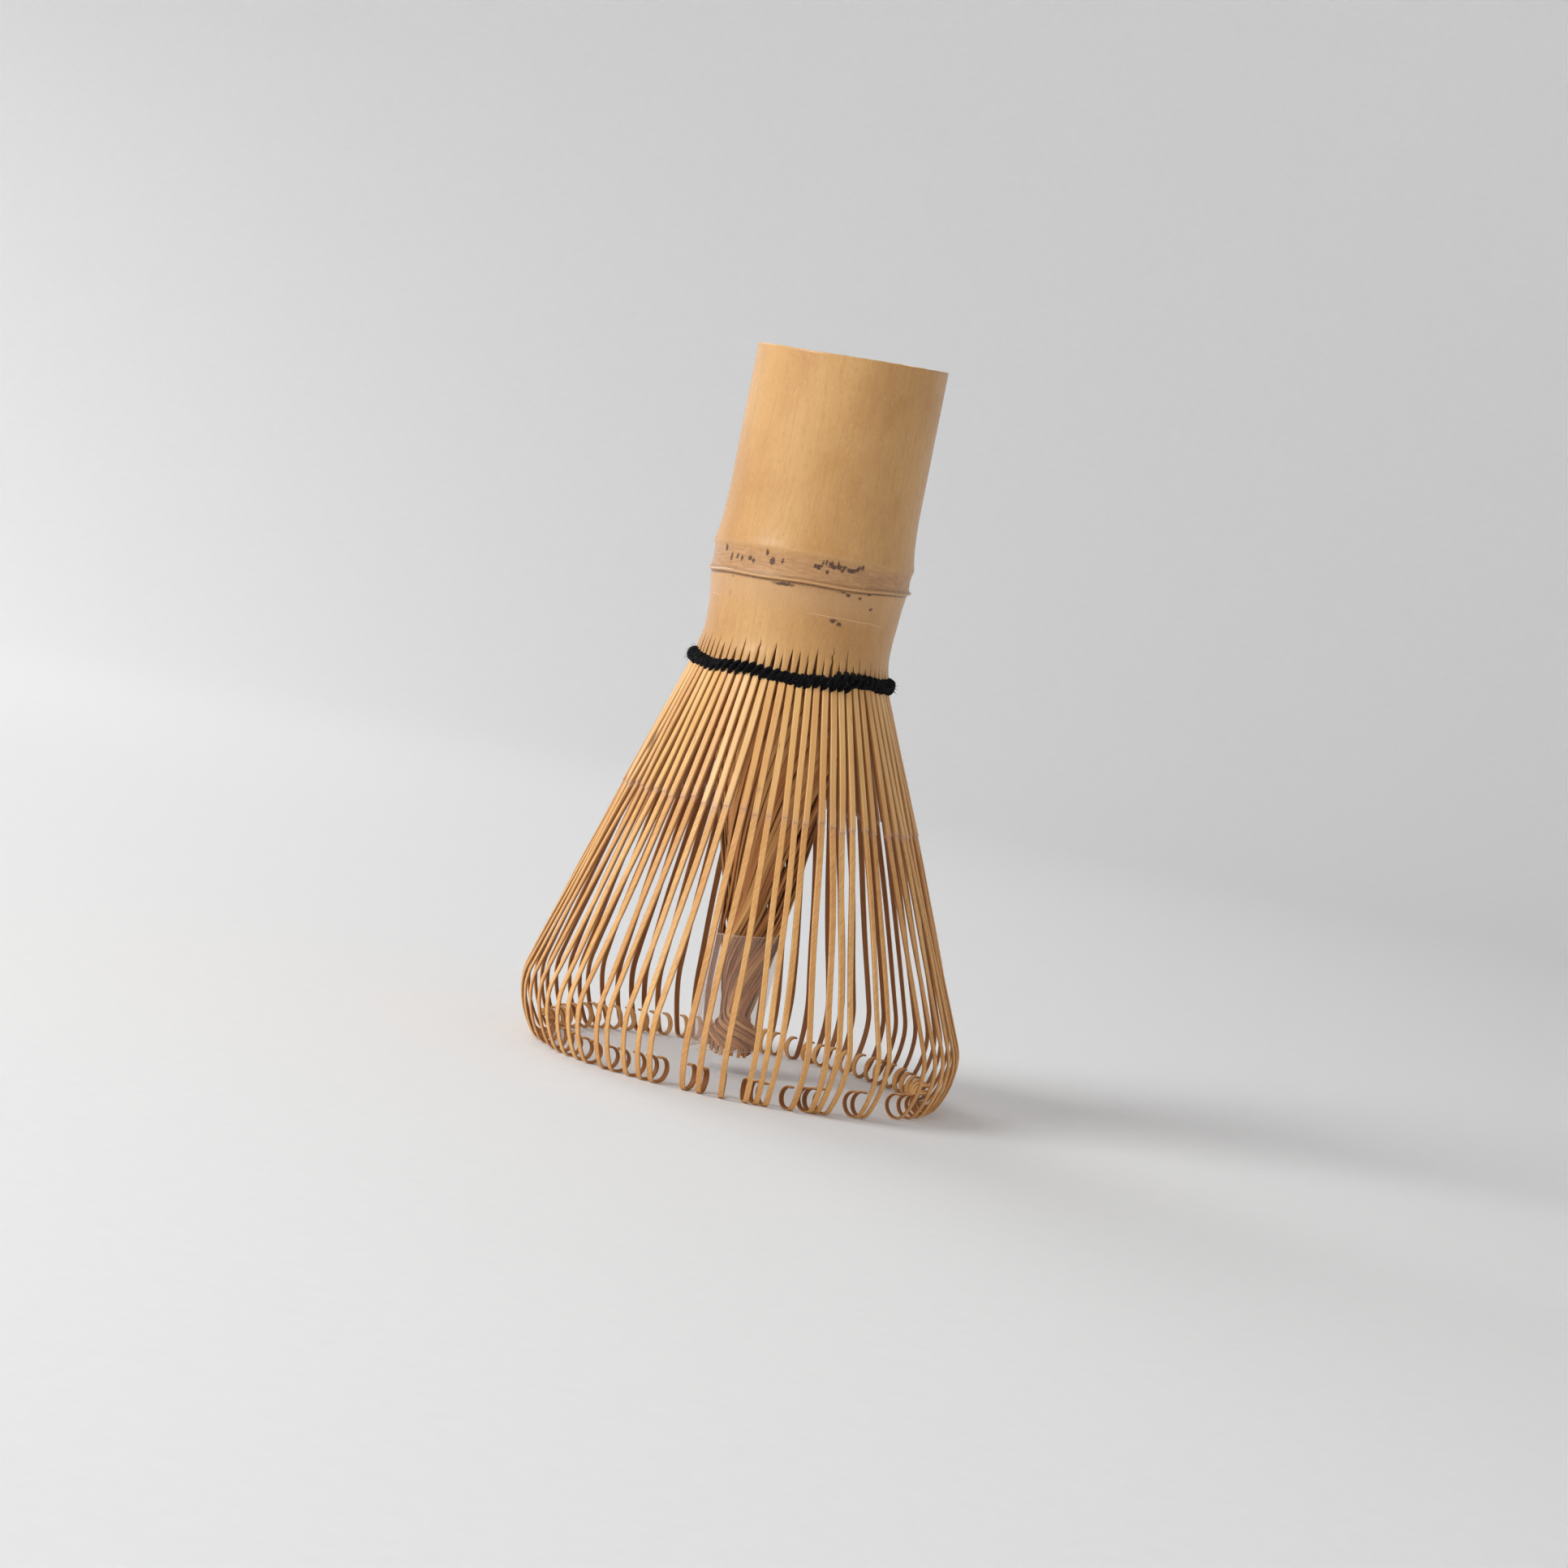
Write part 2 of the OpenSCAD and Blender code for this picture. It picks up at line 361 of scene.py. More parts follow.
# ------------------------------------------------------------------ materials
def culm_material():
    """Bamboo with its skin: straw, fine fibres, a duller band at the node, stains and an end grain."""
    m = Shading("bamboo_culm", Roughness=0.42, Coat_Weight=0.35, Coat_Roughness=0.3)
    place = m.stretch(m.position(), (1 / MM,) * 3)
    fibres = m.noise(m.stretch(place, (3.2, 3.2, 0.09)), 1.0, 4, 0.55)
    threads = m.noise(m.stretch(place, (9, 9, 0.3)), 1.0, 2, 0.5)
    dashes = m.noise(m.stretch(place, (6.5, 6.5, 1.1)), 1.0, 2, 0.5)
    clouds = m.noise(m.stretch(place, (0.09, 0.09, 0.05)), 1.0, 3, 0.6)
    mottle = m.noise(m.stretch(place, (1.6, 1.6, 0.9)), 1.0, 5, 0.65)
    straw = m.mix(m.range(clouds, 0.35, 0.68), srgb(219, 169, 106), srgb(201, 147, 84))
    straw = m.mix(m.range(fibres, 0.35, 0.75, 0.0, 0.3), straw, srgb(190, 134, 74))
    straw = m.mix(m.range(dashes, 0.55, 0.8, 0.0, 0.45), straw, srgb(236, 192, 132))
    straw = m.mix(m.range(mottle, 0.5, 0.72, 0.0, 0.3), straw, srgb(182, 126, 66))
    flecks = m.spots(m.stretch(place, (0.62, 0.62, 0.4)), 1.0)
    straw = m.mix(m.range(flecks, 0.06, 0.035, 0.0, 0.55), straw, srgb(140, 92, 48))
    # the band between the shoulder and the ridge; further on, the paler zone under the ridge together with a
    # painted highlight on the ridge and shoulder
    band = m.attribute("band")
    silk = m.noise(m.stretch(place, (0.5, 0.5, 4.5)), 1.0, 3, 0.55, 0.4)
    tan = m.mix(m.range(silk, 0.35, 0.65), srgb(203, 155, 106), srgb(182, 132, 86))
    tan = m.mix(m.range(mottle, 0.5, 0.75, 0.0, 0.4), tan, srgb(168, 116, 74))
    straw = m.mix(m.math("MULTIPLY", band, m.range(clouds, 0.2, 0.7, 0.75, 1.0)), straw, tan)
    # painted shade: thin dark lines under and above the ridge; then the paler zone, the scratch and stains
    ragged = m.noise(m.stretch(place, (3.2, 3.2, 4.5)), 1.0, 4, 0.7)
    line = m.math("MULTIPLY", m.attribute("line"), m.range(ragged, 0.3, 0.6, 0.35, 1.0))
    straw = m.mix(line, straw, srgb(92, 56, 38))
    # pale: a real paler zone under the ridge, plus a painted highlight along the ridge's top and, fainter,
    # the shoulder
    pale = m.math("MULTIPLY", m.attribute("pale"), m.range(ragged, 0.25, 0.6, 0.3, 0.9))
    straw = m.mix(pale, straw, srgb(214, 170, 126))
    height = m.node("ShaderNodeSeparateXYZ", {0: place}).outputs["Z"]
    wandering = m.math("ADD", m.math("MULTIPLY", clouds, 1.6), SCRATCH_Z - 0.8)
    off_line = m.math("ABSOLUTE", m.math("SUBTRACT", height, wandering))
    scratch = m.math("MULTIPLY", m.attribute("scratch"), m.range(off_line, 0.09, 0.02, 0.0, 0.6))
    straw = m.mix(scratch, straw, srgb(238, 206, 162))
    stain = m.attribute("stain")
    ragged_stain = m.math("ADD", stain, m.range(ragged, 0.2, 0.8, -0.4, 0.4))
    stained = m.math("MULTIPLY", m.range(ragged_stain, 0.36, 0.66, 0.0, 0.9), m.range(stain, 0.02, 0.15))
    straw = m.mix(stained, straw, srgb(70, 34, 15))
    # end grain: pale pith side, brown bundles that crowd towards the skin
    bundles = m.spots(m.stretch(place, (1.9, 1.9, 0.02)), 1.0)
    grain = m.mix(m.range(bundles, 0.36, 0.2), srgb(210, 172, 118), srgb(162, 114, 66))
    colour = m.mix(m.attribute("end"), straw, grain)
    bore = m.mix(m.range(mottle, 0.3, 0.7), srgb(216, 180, 126), srgb(190, 146, 92))
    colour = m.mix(m.attribute("inside"), colour, bore)
    m.set("Base Color", colour)
    m.set("Roughness", m.range(mottle, 0.3, 0.75, 0.36, 0.52))
    m.bump(fibres, 0.02)
    m.bump(threads, 0.012)
    m.bump(m.math("MULTIPLY", mottle, m.math("ADD", band, 0.12)), 0.09)
    return m.material


def tine_material():
    """Split bamboo: straw skin above the step, orange flesh with cross grain below it, and darker brown on
    the sides and back, partly their own cut colour and partly painted shade.
    """
    m = Shading("bamboo_tine", Roughness=0.46)
    lengthwise = m.attribute("length")
    across = m.attribute("across")
    skin = m.attribute("skin")
    face = m.attribute("face")
    tone = m.attribute("tone")
    grain_place = m.combine(across, lengthwise, tone)
    fibres = m.noise(m.stretch(grain_place, (7.0, 0.09, 13.0)), 1.0, 3, 0.6)
    patches = m.noise(m.stretch(grain_place, (0.3, 0.05, 9.0)), 1.0, 3, 0.55)
    slant = m.combine(m.math("ADD", across, m.math("MULTIPLY", lengthwise, 0.62)), lengthwise, tone)
    cross = m.noise(m.stretch(slant, (4.2, 0.5, 3.0)), 1.0, 2, 0.5)
    straw = m.mix(m.range(patches, 0.3, 0.7), srgb(248, 200, 134), srgb(236, 180, 110))
    straw = m.mix(m.range(fibres, 0.4, 0.75, 0.0, 0.4), straw, srgb(204, 148, 80))
    flesh = m.mix(m.range(patches, 0.3, 0.7), srgb(246, 192, 124), srgb(230, 170, 100))
    flesh = m.mix(m.range(cross, 0.38, 0.66, 0.0, 0.4), flesh, srgb(196, 138, 74))
    flesh = m.mix(m.range(fibres, 0.5, 0.8, 0.0, 0.4), flesh, srgb(232, 190, 130))
    # the sides and back get a darker brown: partly the split bamboo's own cut colour, partly painted shade
    # between the tines and inside the cage
    cut = m.mix(m.range(fibres, 0.3, 0.7), srgb(172, 112, 56), srgb(142, 88, 40))
    colour = m.mix(face, cut, m.mix(skin, flesh, straw))
    # the step where the skin ends: a pinkish, slightly rough band
    step = m.attribute("step")
    colour = m.mix(m.math("MULTIPLY", step, m.range(cross, 0.2, 0.6, 0.4, 0.85)), colour, srgb(214, 168, 132))
    colour = m.mix(m.range(m.attribute("knot"), 0.3, 0.8, 0.0, 0.85), colour, srgb(112, 64, 30))
    flecks = m.spots(m.stretch(grain_place, (1.2, 0.12, 31.0)), 1.0)
    colour = m.mix(m.range(flecks, 0.09, 0.05, 0.0, 0.55), colour, srgb(132, 80, 40))
    # every tine has its own depth of colour
    deep = m.mix(m.range(tone, 0.0, 1.0, 0.0, 0.22), colour, srgb(206, 152, 92), "MULTIPLY")
    m.set("Base Color", deep)
    m.set("Roughness", m.range(skin, 0.0, 1.0, 0.56, 0.40))
    m.bump(fibres, 0.018)
    m.bump(m.math("MULTIPLY", cross, m.math("SUBTRACT", 1.0, skin)), 0.03)
    return m.material


def core_material():
    """The inner tines: thin and duller than the outer ones, and darker: a deeper tone of their own, and
    near-black sides that are partly their cut colour and partly painted shade between the strands.
    """
    m = Shading("bamboo_core", Roughness=0.58)
    grain_place = m.combine(m.attribute("across"), m.attribute("length"), m.attribute("tone"))
    fibres = m.noise(m.stretch(grain_place, (8.0, 0.12, 11.0)), 1.0, 3, 0.6)
    patches = m.noise(m.stretch(grain_place, (0.4, 0.06, 17.0)), 1.0, 2, 0.5)
    colour = m.mix(m.range(patches, 0.3, 0.7), srgb(252, 192, 118), srgb(226, 162, 92))
    colour = m.mix(m.range(fibres, 0.4, 0.75, 0.0, 0.4), colour, srgb(158, 102, 52))
    colour = m.mix(m.range(m.attribute("tone"), 0.0, 1.0, 0.0, 0.6), colour, srgb(196, 134, 82), "MULTIPLY")
    # the sides and backs of the strands are near-black brown: painted shade between the strands, on top of
    # their cut colour
    m.set("Base Color", m.mix(m.attribute("face"), srgb(70, 36, 15), colour))
    m.bump(fibres, 0.02)
    return m.material


def thread_material():
    """Black twined cotton, matte, with a faint lint on it."""
    m = Shading("thread", Roughness=0.9, Specular_IOR_Level=0.12, Sheen_Weight=0.04, Sheen_Roughness=0.5)
    lay = m.combine(m.attribute("across"), m.attribute("length"))
    strands = m.noise(m.stretch(lay, (9.0, 2.2, 1.0)), 1.0, 3, 0.6)
    colour = m.mix(m.range(strands, 0.3, 0.75), srgb(3, 3, 4), srgb(20, 20, 25))
    m.set("Base Color", m.mix(m.attribute("lint"), colour, srgb(86, 88, 100)))
    m.bump(strands, 0.24)
    return m.material


def film_material(name, alpha):
    """Clear film with a faint milky pink tint."""
    m = Shading(name, Roughness=0.12, Alpha=alpha, Specular_IOR_Level=0.5)
    place = m.stretch(m.position(), (1 / MM,) * 3)
    creases = m.noise(m.stretch(place, (0.5, 0.5, 0.12)), 1.0, 2, 0.5)
    m.set("Base Color", m.mix(m.range(creases, 0.3, 0.7), srgb(236, 214, 200), srgb(222, 194, 180)))
    m.bump(creases, 0.12)
    return m.material


def stage_material():
    """Plain pale card with a very faint grain."""
    m = Shading("stage", Roughness=0.75)
    grain = m.noise(m.stretch(m.position(), (1 / MM,) * 3), 0.35, 4, 0.6)
    m.set("Base Color", m.mix(grain, srgb(244, 244, 245), srgb(239, 239, 241)))
    return m.material


# ------------------------------------------------------------------ culm: handle, node and roots of the tines
FINGER_COLUMNS = 6
SEPTUM_UNDER_Z = SEPTUM_TOP - 2.5
WALL_STEP_Z = 60.2
ROOT_BACK_R = 13.0
LOWER_HOLLOW_R = 10.4
ROOT_SINK = 0.07
SLIT_HALF_W = 0.15
SLIT_MOUTH_HALF_W = 0.22
SLIT_MOUTH_Z = 59.4
SEAM_BLEND_Z = WALL_STEP_Z
SHOULDER_Z = 75.2
NODE_TILT = 0.75
RIDGE_SAG = 0.5
END_TILT = 0.43
END_SLANT = 0.75
END_EDGE = 0.1
END_ROUGHNESS = 0.02
END_DISH = 0.05
# Radii of the rings across the cut end, the rings' shares of the bore's depth, and the diaphragm's rings
END_RADII = (13.1, 12.4, 11.6, 10.8, BORE_R + 0.15)
BORE_SHARES = (0.006, 0.03, 0.2, 0.4, 0.6, 0.8, 0.93, 0.985)
SEPTUM_DOME = ((9.4, 0.0), (7.5, 0.12), (4.5, 0.3), (1.5, 0.35))
SEPTUM_UNDER_RADII = (9.2, 6.5, 3.5, 1.2)

# (height, outer radius) of the ring, the neck, the ridge, the shoulder and the grip
CULM_OUTLINE = [
    (56.8, 14.3),
    (58.5, 14.12),
    (60.2, 13.86),
    (61.3, 13.6),
    (62.2, 13.46),
    (63.2, 13.4),
    (65.5, 13.45),
    (68.8, 13.75),
    (70.6, 13.98),
    (71.36, 14.06),
    (71.46, 14.1),
    (71.53, 14.44),
    (71.64, 14.58),
    (71.78, 14.54),
    (71.97, 14.26),
    (72.6, 14.14),
    (73.6, 14.13),
    (74.5, 14.22),
    (75.0, 14.36),
    (75.25, 14.43),
    (75.6, 14.38),
    (76.4, 14.2),
    (78.0, 13.97),
    (80.5, 13.8),
    (83.0, GRIP_R),
    (110.0, GRIP_R),
]


# (height, inner radius) below the diaphragm: the backs of the outer tines' roots, then the hollow above them
HOLLOW_OUTLINE = [
    (57.0, ROOT_BACK_R),
    (WALL_STEP_Z, ROOT_BACK_R),
    (WALL_STEP_Z + 0.25, 11.7),
    (61.6, LOWER_HOLLOW_R),
    (72.0, LOWER_HOLLOW_R),
]


def outline_radius(outline, z):
    return float(np.interp(z, [point[0] for point in outline], [point[1] for point in outline]))


def slit_top(i):
    """Height at which slit i ends: uneven, and higher right of the front."""
    from_front = right_of_front(slit_azimuth(i))
    return 61.4 + 0.9 * bell(from_front, 28, 26) + 0.85 * vary(i, 4) + 0.5 * vary(i, 9)


def slit_half_width(i, z):
    """Widest just above the thread, which pulls the tines apart there."""
    mouth = SLIT_MOUTH_HALF_W * (1 + 0.35 * vary(i, 12))
    if z < SLIT_MOUTH_Z:
        return SLIT_HALF_W + (mouth - SLIT_HALF_W) * smooth(z, RING_Z, SLIT_MOUTH_Z)
    return mouth * max(0.0, 1 - (z - SLIT_MOUTH_Z) / (slit_top(i) - SLIT_MOUTH_Z))


def slit_wander(i, z):
    """Sideways crookedness of a slit, in degrees: most are straight, some are torn."""
    torn = max(0.0, vary(i, 7) - 0.55)
    return torn * 1.1 * math.sin(4.3 * z + i) * smooth(z, 59.5, 61.5)


def culm_levels():
    """Heights of the culm's rings, close together where there is more shape."""
    levels = list(np.arange(RING_Z, 65.0, 0.26))
    levels += list(np.arange(65.0, 70.4, 0.45))
    levels += list(np.arange(70.4, 71.3, 0.18))
    levels += list(np.arange(71.3, 72.1, 0.065))
    levels += list(np.arange(72.1, 76.4, 0.2))
    levels += list(np.arange(76.4, 80.0, 0.45))
    levels += list(np.arange(80.0, TOP_Z - 1.0, 1.5))
    levels += [TOP_Z - 1.0, TOP_Z - 0.45, TOP_Z - 0.2]
    return levels


def end_shift(azimuth):
    """How far the slanted cut end is above TOP_Z."""
    return END_TILT * cos_deg(azimuth) + END_SLANT * sin_deg(azimuth)


def node_shift(azimuth, z):
    """How far a ring is raised: the node and the cut end are both a little slanted and wavy."""
    wave = NODE_TILT * cos_deg(azimuth) + 0.1 * sin_deg(3 * azimuth + 60) + 0.07 * sin_deg(7 * azimuth)
    sag = RIDGE_SAG * sin_deg(azimuth)
    at_node = smooth(z, 66.5, 71.0) * (1 - 0.45 * smooth(z, 72, 75)) * (1 - smooth(z, 76, 82))
    at_ridge = smooth(z, 68.0, 71.2) * (1 - smooth(z, 72.0, 74.6))
    return wave * at_node + sag * at_ridge + end_shift(azimuth) * smooth(z, 92, TOP_Z)


def culm_radius(azimuth, z):
    radius = outline_radius(CULM_OUTLINE, z)
    oval = 0.05 * cos_deg(2 * azimuth - 50) + 0.03 * cos_deg(3 * azimuth + 20)
    lumps = 0.035 * sin_deg(5 * azimuth + 31 * z) * bell(z, 73.4, 1.6)
    ridge = 0.07 * bell(z, 71.64, 0.13) * (sin_deg(4 * azimuth + 80) + sin_deg(11 * azimuth))
    return radius + (oval + lumps) * smooth(z, 59, 64) + ridge


# A thin pale scratch goes part of the way round the neck, as (from, to) in degrees right of the front
SCRATCH_Z = 67.0
SCRATCHES = [(2, 60), (-74, -58)]
# Stains as (degrees right of the front, height, half width, half height, strength)
STAINS = [
    (44, 69.0, 0.3, 0.26, 1.1),
    (20.5, 66.64, 0.6, 0.24, 1.6),
    (24.5, 66.5, 0.55, 0.22, 1.6),
    (-49, 68.0, 0.5, 0.7, 0.5),
    (-34, 98.2, 0.2, 0.2, 1.0),
    (-12, 70.95, 1.9, 0.3, 1.0),
    (22, 71.1, 1.1, 0.15, 0.8),
    (26, 70.8, 0.34, 0.26, 1.2),
    (34, 70.6, 0.34, 0.27, 0.95),
    (40, 71.2, 0.5, 0.16, 0.9),
    (-47, 71.0, 0.3, 0.2, 0.8),
]
# Rows of short dark specks under the shoulder, as (from, to) in degrees right of the front, and how many
SPECK_ROWS = [(-58, -17, 9), (4, 31, 17), (118, 150, 9), (196, 216, 8)]


def speck_marks():
    """The specks of all rows, in the form of STAINS."""
    rng = Random(5)
    marks = []
    for start, end, count in SPECK_ROWS:
        for k in range(count):
            angle = start + (end - start) * (k + rng.uniform(-0.35, 0.35)) / (count - 1)
            height = SHOULDER_Z - 1.2 + rng.uniform(-0.65, 0.65)
            half_w = rng.uniform(0.17, 0.42)
            half_h = rng.uniform(0.24, 0.5)
            marks.append((angle, height, half_w, half_h, rng.uniform(0.95, 1.35)))
    return marks


def stain_at(marks, azimuth, radius, z):
    """Strength of the strongest stain at a place on the skin."""
    from_front = right_of_front(azimuth)
    value = 0.0
    for angle, height, half_w, half_h, strength in marks:
        if abs(z - height) > 3 * half_h:
            continue
        side = math.radians((from_front - angle + 180) % 360 - 180) * radius
        value = max(value, strength * bell(side, 0, half_w) * bell(z, height, half_h))
    return value


def scratch_at(azimuth, z):
    """1 along the stretch of each scratch, fading at its ends."""
    if abs(z - SCRATCH_Z) > 1.5:
        return 0.0
    from_front = right_of_front(azimuth)
    fades = []
    for start, end in SCRATCHES:
        fades.append(smooth(from_front, start, start + 5) * (1 - smooth(from_front, end - 5, end)))
    return max(fades)


def build_culm():
    """One closed shell: outside up to the cut end, down the bore to the diaphragm, and the hollow below it.

    Below the neck it parts into one finger for each outer tine.
    """
    marks = STAINS + speck_marks()
    levels = culm_levels()
    low_levels = [z for z in levels if z <= SEPTUM_UNDER_Z + 0.1]
    points = []
    values = {"band": [], "line": [], "pale": [], "stain": [], "scratch": [], "end": [], "inside": []}
    index = {}

    def add_point(key, azimuth, radius, z, end=0.0, inside=0.0, skin=0.0):
        """Adds a point once and returns its number. skin is its height before slants, or 0 off the skin."""
        if key in index:
            return index[key]
        points.append((HANDLE_X + radius * cos_deg(azimuth), radius * sin_deg(azimuth), z))
        nominal = skin or z
        band = smooth(nominal, 71.6, 72.0) * (1 - smooth(nominal, 73.6, 75.9))
        values["band"].append(band if skin else 0.0)
        # painted shade: thin dark lines just under and just above the ridge
        line = bell(nominal, 71.36, 0.14) + 0.5 * bell(nominal, 72.05, 0.1)
        values["line"].append(line if skin else 0.0)
        # painted highlight along the ridge's top and, fainter, along the shoulder
        painted_highlight = bell(nominal, 71.7, 0.13) + 0.35 * bell(nominal, 75.35, 0.22)
        # a real paler zone of the neck under the ridge
        below = 0.55 * smooth(nominal, 65.5, 69.5) * (1 - smooth(nominal, 70.9, 71.3))
        values["pale"].append(min(1.0, painted_highlight + below) if skin else 0.0)
        values["stain"].append(stain_at(marks, azimuth, radius, nominal) if skin else 0.0)
        values["scratch"].append(scratch_at(azimuth, nominal) if skin else 0.0)
        values["end"].append(end)
        values["inside"].append(inside)
        index[key] = len(points) - 1
        return index[key]

    def edge_key(side, k, finger, column, z):
        """Neighbouring fingers share an edge point where the slit between them is closed."""
        if column == 0:
            slit = (finger - 1) % TINES
        elif column == FINGER_COLUMNS:
            slit = finger
        else:
            return (side, k, finger, column)
        if slit_half_width(slit, z) > 0:
            return (side, k, finger, column)
        return (side, k, "slit", slit)

    def finger_row(side, k, z, radius_at):
        """The points of one level, finger by finger."""
        row = []
        for finger in range(TINES):
            before = (finger - 1) % TINES
            left = slit_azimuth(before) - (360 if finger == 0 else 0)
            right = slit_azimuth(finger)
            to_degrees = math.degrees(1 / ROOT_R)
            left += slit_wander(before, z) + slit_half_width(before, z) * to_degrees
            right += slit_wander(finger, z) - slit_half_width(finger, z) * to_degrees
            height = z
            if z < SEAM_BLEND_Z:
                seam = seam_height(finger)
                height = SEAM_BLEND_Z - (SEAM_BLEND_Z - z) * (SEAM_BLEND_Z - seam) / (SEAM_BLEND_Z - RING_Z)
            cells = []
            for column in range(FINGER_COLUMNS + 1):
                azimuth = left + (right - left) * column / FINGER_COLUMNS
                edge = abs(2 * column / FINGER_COLUMNS - 1) ** 4
                radius, skin = radius_at(azimuth, height, edge)
                raised = height + node_shift(azimuth, z)
                key = edge_key(side, k, finger, column, z)
                cells.append(add_point(key, azimuth, radius, raised, inside=0.0 if skin else 1.0, skin=skin))
            row.append(cells)
        return row

    def outside(azimuth, z, edge):
        sunk = ROOT_SINK * edge * (1 - smooth(z, 60, 63.5))
        return culm_radius(azimuth, z) - sunk, z

    def hollow(azimuth, z, edge):
        return outline_radius(HOLLOW_OUTLINE, z), 0.0

    faces = []

    def skin_rows(low, high, flip):
        for a, b in zip(low, high):
            for c in range(FINGER_COLUMNS):
                quad = (a[c], a[c + 1], b[c + 1], b[c])
                faces.append(tuple(reversed(quad)) if flip else quad)

    outer = [finger_row("out", k, z, outside) for k, z in enumerate(levels)]
    inner = [finger_row("in", k, z, hollow) for k, z in enumerate(low_levels)]
    for low, high in zip(outer, outer[1:]):
        skin_rows(low, high, False)
    for low, high in zip(inner, inner[1:]):
        skin_rows(low, high, True)
    skin_rows(inner[0], outer[0], False)
    # the cheeks of each slit
    for k in range(len(low_levels) - 1):
        for finger in range(TINES):
            low_out, low_in = outer[k][finger], inner[k][finger]
            high_out, high_in = outer[k + 1][finger], inner[k + 1][finger]
            if slit_half_width(finger, levels[k]) > 0:
                faces.append((low_out[-1], low_in[-1], high_in[-1], high_out[-1]))
            if slit_half_width((finger - 1) % TINES, levels[k]) > 0:
                faces.append((low_out[0], high_out[0], high_in[0], low_in[0]))

    def plain_row(tag, source, radius_at, height_at, end=0.0, inside=0.0):
        """A closed ring with one point above or below each point of the source row."""
        row = []
        for cells in source:
            made = []
            for point in cells:
                x, y, z = points[point]
                azimuth = math.degrees(math.atan2(y, x - HANDLE_X))
                radius = radius_at(math.hypot(x - HANDLE_X, y))
                made.append(add_point((tag, point), azimuth, radius, height_at(azimuth), end, inside))
            row.append(made)
        return row

    def cut_end(dish):
        """Heights round the slanted, sawn end, lowered by dish."""
        return lambda azimuth: TOP_Z + end_shift(azimuth) + END_ROUGHNESS * sin_deg(23 * azimuth) - dish

    def ring_height(height, slant):
        """Heights round a ring that follows the cut end's slant by a share."""
        return lambda azimuth: height + end_shift(azimuth) * slant

    def steady(radius):
        return lambda source_radius: radius

    rows = [outer[-1]]
    rows.append(plain_row("end0", rows[-1], lambda radius: radius - END_EDGE, cut_end(0.0), end=0.2))
    for n, radius in enumerate(END_RADII):
        dish = END_DISH * sin_deg(n * 36)
        rows.append(plain_row(f"end{n + 1}", rows[-1], steady(radius), cut_end(dish), end=1.0))
    for n, share in enumerate(BORE_SHARES):
        height_at = ring_height(TOP_Z - share * (TOP_Z - SEPTUM_TOP), 1 - share)
        rows.append(plain_row(f"bore{n}", rows[-1], steady(BORE_R), height_at, inside=1.0))
    for n, (radius, rise) in enumerate(SEPTUM_DOME):
        height_at = ring_height(SEPTUM_TOP + rise, 0)
        rows.append(plain_row(f"septum{n}", rows[-1], steady(radius), height_at, inside=1.0))
    for low, high in zip(rows, rows[1:]):
        skin_rows(low, high, False)
    under = [inner[-1]]
    for n, radius in enumerate(SEPTUM_UNDER_RADII):
        height_at = ring_height(SEPTUM_UNDER_Z, 0)
        under.append(plain_row(f"under{n}", under[-1], steady(radius), height_at, inside=1.0))
    for low, high in zip(under, under[1:]):
        skin_rows(low, high, True)
    centres = (("top", rows[-1], SEPTUM_TOP + 0.36, False), ("low", under[-1], SEPTUM_UNDER_Z, True))
    for tag, row, height, flip in centres:
        centre = add_point((tag, "centre"), 0, 0, height, inside=1.0)
        for cells in row:
            for c in range(FINGER_COLUMNS):
                triangle = (cells[c], cells[c + 1], centre)
                faces.append(tuple(reversed(triangle)) if flip else triangle)
    culm = make_piece("culm", points, faces, [culm_material()], values, sharp=38)
    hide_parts("handle")
    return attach(culm, "handle")


# ------------------------------------------------------------------ outer tines
SKIN_T = 0.92
STEP_T = 0.84
FLESH_T = 0.52
BEND_T = 0.36
CURL_T = 0.3
STEP_DEPTH = 0.13
CHAMFER = 0.11
BEND_STEPS, HOOK_STEPS, CURL_STEPS = 6, 8, 22


def arc(start, radius, turn, steps, thickness):
    """Stations along an arc that turns inwards."""
    r, z, heading, t = start
    stations = []
    for k in range(1, steps + 1):
        h = heading - turn * k / steps
        at_r = r + radius * (cos_deg(h) - cos_deg(heading))
        at_z = z - radius * (sin_deg(heading) - sin_deg(h))
        stations.append((at_r, at_z, h, t + (thickness - t) * k / steps))
    return stations


def outer_path(i, step_z, curl_r):
    """Stations of tine i's outer face from the seam to the tip, and the number of the first curl station."""
    low_heading = face_heading(10)
    mid_heading = low_heading - BEND_TURN
    curl_heading = mid_heading - HOOK_TURN
    bend_z = (
        BEND_R * (sin_deg(low_heading) - sin_deg(mid_heading))
        + HOOK_R * (sin_deg(mid_heading) - sin_deg(curl_heading))
        + curl_r * (sin_deg(curl_heading) + 1)
    )
    top = seam_height(i)
    heights = [top] + [z for z in (56.8, 55, 52, 48.5, 45, 42) if z < top - 0.3]
    heights += [step_z + 0.7, step_z + 0.06]
    path = []
    for z in heights:
        t = STEP_T + (SKIN_T - STEP_T) * smooth(z, STEP_Z, RING_Z)
        path.append((face_radius(z), z, face_heading(z), t))
    for z in (step_z - 0.06, step_z - 0.7, 34.5, 30.5, 26.5, 22, 18, 14, bend_z):
        t = FLESH_T + (BEND_T - FLESH_T) * smooth(-z, -step_z, -bend_z)
        path.append((face_radius(z) - STEP_DEPTH, z, face_heading(z), t))
    path += arc(path[-1], BEND_R, BEND_TURN, BEND_STEPS, BEND_T)
    path += arc(path[-1], HOOK_R, HOOK_TURN, HOOK_STEPS, CURL_T)
    first_curl = len(path)
    path += arc(path[-1], curl_r, CURL_TURN, CURL_STEPS, CURL_T)
    return path, first_curl


